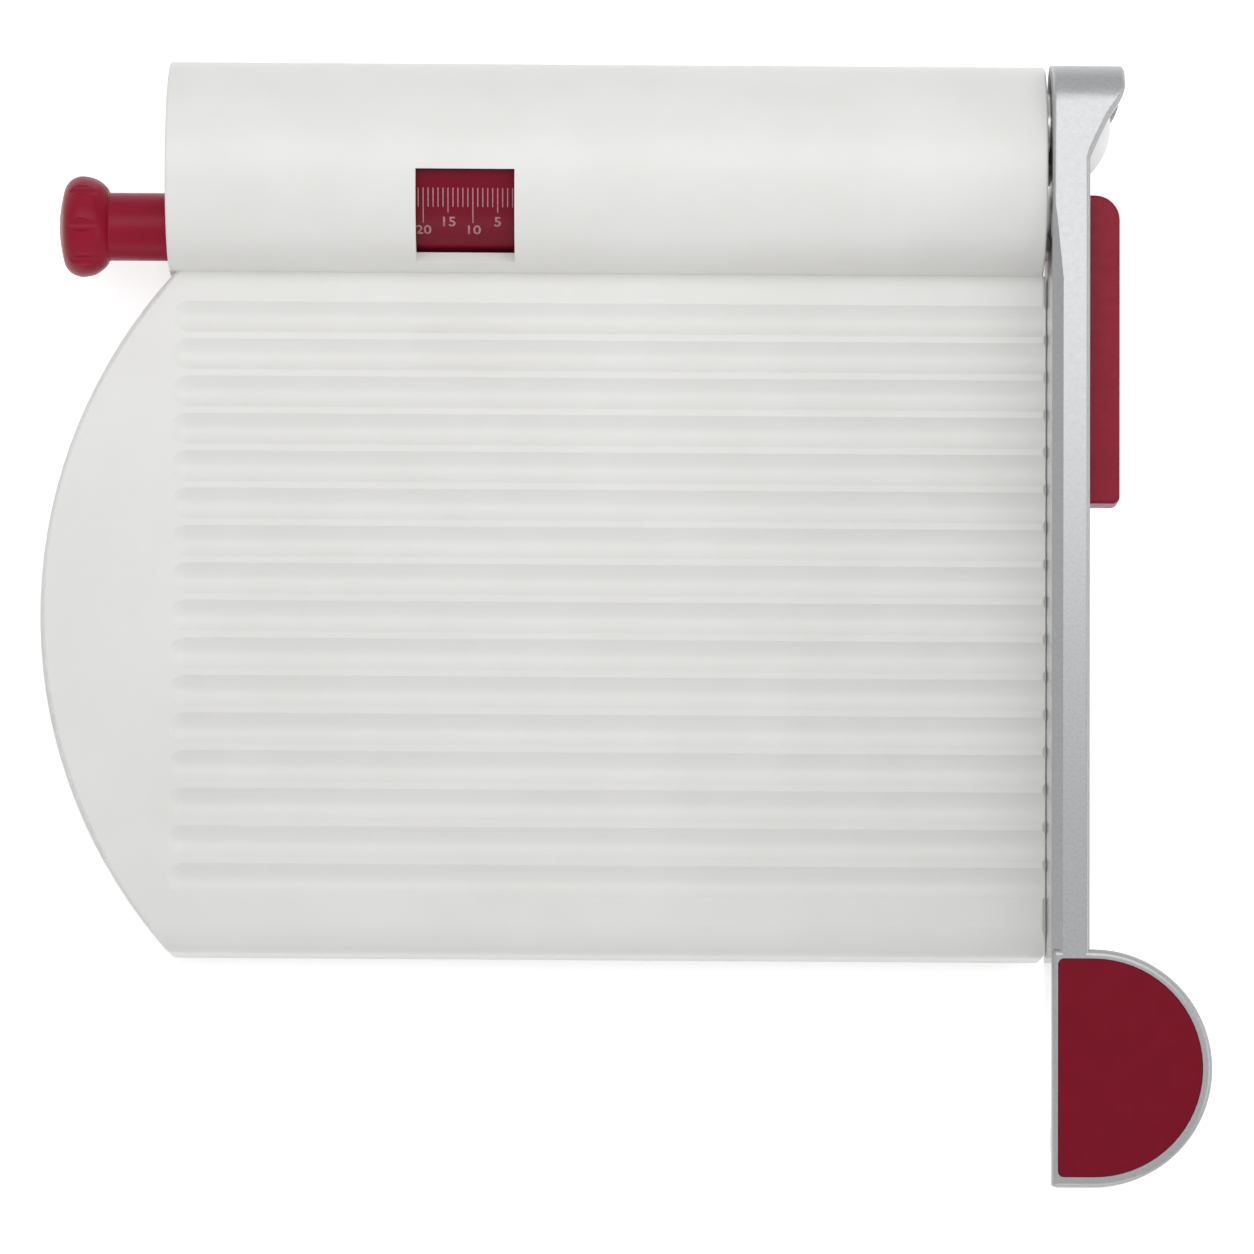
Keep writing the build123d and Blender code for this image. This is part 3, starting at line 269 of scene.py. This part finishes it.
def drum_number(text, x, turn):
    curve = bpy.data.curves.new("number_" + text, "FONT")
    curve.body = text
    curve.size = NUMBER_SIZE
    curve.align_x = "CENTER"
    curve.align_y = "CENTER"
    curve.offset = NUMBER_SPREAD
    holder = bpy.data.objects.new("number_" + text, curve)
    mesh = bpy.data.meshes.new_from_object(holder)
    bpy.data.objects.remove(holder)
    bm = bmesh.new()
    bm.from_mesh(mesh)
    bpy.data.meshes.remove(mesh)
    flat = bm.faces[:]
    for v in bm.verts:
        v.co.z = MARK_LIFT
    grown = bmesh.ops.extrude_face_region(bm, geom=flat)
    for part in grown["geom"]:
        if isinstance(part, bmesh.types.BMVert):
            part.co.z = -MARK_DEEP
    for v in bm.verts:
        angle = turn - v.co.y / CARRIAGE_R
        v.co = Vector(on_drum(x + v.co.x, angle, v.co.z))
    finish_bm(bm, "scale_number_" + text, INK, "adjuster")


for count in (0, 5, 10, 15, 20):
    place = FIVES_PLACE if count % 10 else TENS_PLACE
    drum_number(str(count), SCALE_ZERO_X - count * TICK_STEP, math.radians(place))


# Floor, light and camera
FLOOR_HALF = 3.0
FLOOR_COLOUR = (0.92, 0.92, 0.92, 1)
FLOOR_GLOW = 0.50
WORLD_LIGHT = 0.62
LIGHTS = (
    # name, place, aimed at, width and height, watts
    ("key_above", (0.0, 0.150, 0.38), (0, 0.13, 0.02), (0.6, 0.20), 0.64),
    ("fill_front", (0.0, -1.4, 0.24), (0, 0, 0.03), (1.6, 0.4), 2.2),
    ("fill_right", (1.0, 0.0, 0.40), (0, 0, 0.04), (0.9, 0.20), 1.1),
)
CAMERA_DISTANCE = 1.650
CAMERA_TILT = math.radians(5.5)
CAMERA_ROLL = math.radians(0.37)
CAMERA_AIM = (0.001085, 0.0016, 0.0)
SENSOR_WIDTH = 36.0
PHOTO_WIDTH = 1254
FOCAL_PIXELS = 5.0 * (1650.0 - 41.7)


def seen_directly(tree):
    # 1 for what the camera, a reflection or glass shows, 0 for light on the object
    path = node(tree, "ShaderNodeLightPath")
    first = node(tree, "ShaderNodeMath", operation="MAXIMUM")
    tree.links.new(path.outputs["Is Camera Ray"], first.inputs[0])
    tree.links.new(path.outputs["Is Glossy Ray"], first.inputs[1])
    second = node(tree, "ShaderNodeMath", operation="MAXIMUM")
    tree.links.new(first.outputs[0], second.inputs[0])
    tree.links.new(path.outputs["Is Transmission Ray"], second.inputs[1])
    return second.outputs[0]


def make_floor():
    bm = bmesh.new()
    for x, y in ((-1, -1), (1, -1), (1, 1), (-1, 1)):
        bm.verts.new((x * FLOOR_HALF, y * FLOOR_HALF, 0.0))
    bm.faces.new(bm.verts[:])
    mesh = bpy.data.meshes.new("floor")
    bm.to_mesh(mesh)
    bm.free()
    floor = bpy.data.objects.new("floor", mesh)
    scene.collection.objects.link(floor)
    mat = bpy.data.materials.new("floor")
    mat.use_nodes = True
    tree = mat.node_tree
    tree.nodes.clear()
    out = node(tree, "ShaderNodeOutputMaterial")
    diffuse = node(tree, "ShaderNodeBsdfDiffuse")
    diffuse.inputs["Color"].default_value = FLOOR_COLOUR
    glow = node(tree, "ShaderNodeEmission")
    glow.inputs["Color"].default_value = (1, 1, 1, 1)
    glow_part = node(tree, "ShaderNodeMath", operation="MULTIPLY")
    glow_part.inputs[1].default_value = FLOOR_GLOW
    tree.links.new(seen_directly(tree), glow_part.inputs[0])
    tree.links.new(glow_part.outputs[0], glow.inputs["Strength"])
    both = node(tree, "ShaderNodeAddShader")
    tree.links.new(diffuse.outputs[0], both.inputs[0])
    tree.links.new(glow.outputs[0], both.inputs[1])
    tree.links.new(both.outputs[0], out.inputs["Surface"])
    floor.data.materials.append(mat)


def area_light(name, place, target, size, energy):
    data = bpy.data.lights.new(name, "AREA")
    data.shape = "RECTANGLE"
    data.size = size[0]
    data.size_y = size[1]
    data.energy = energy
    obj = bpy.data.objects.new(name, data)
    scene.collection.objects.link(obj)
    obj.location = place
    aim = Vector(target) - Vector(place)
    obj.rotation_euler = aim.to_track_quat("-Z", "Y").to_euler()
    obj.visible_camera = False


def make_world():
    world = bpy.data.worlds.new("studio")
    world.use_nodes = True
    tree = world.node_tree
    back = tree.nodes["Background"]
    back.inputs["Color"].default_value = (1.0, 1.0, 1.0, 1)
    strength = node(tree, "ShaderNodeMapRange")
    strength.inputs["To Min"].default_value = WORLD_LIGHT
    strength.inputs["To Max"].default_value = 1.0
    tree.links.new(seen_directly(tree), strength.inputs["Value"])
    tree.links.new(strength.outputs["Result"], back.inputs["Strength"])
    scene.world = world


def make_camera():
    # Nearly straight above, a little to the front, with a long lens
    back = Vector((0, -math.sin(CAMERA_TILT), math.cos(CAMERA_TILT)))
    level_right = Vector((1, 0, 0))
    level_up = Vector((0, math.cos(CAMERA_TILT), math.sin(CAMERA_TILT)))
    right = level_right * math.cos(CAMERA_ROLL) + level_up * math.sin(CAMERA_ROLL)
    up = -level_right * math.sin(CAMERA_ROLL) + level_up * math.cos(CAMERA_ROLL)
    data = bpy.data.cameras.new("camera")
    data.sensor_width = SENSOR_WIDTH
    data.sensor_fit = "HORIZONTAL"
    data.lens = FOCAL_PIXELS / PHOTO_WIDTH * SENSOR_WIDTH
    data.clip_start = 0.05
    data.clip_end = 20.0
    obj = bpy.data.objects.new("camera", data)
    scene.collection.objects.link(obj)
    turn = Matrix((
        (right.x, up.x, back.x),
        (right.y, up.y, back.y),
        (right.z, up.z, back.z),
    )).to_4x4()
    obj.matrix_world = Matrix.Translation(Vector(CAMERA_AIM) + back * CAMERA_DISTANCE) @ turn
    scene.camera = obj


make_floor()
make_world()
for values in LIGHTS:
    area_light(*values)
make_camera()
scene.view_settings.view_transform = "Standard"
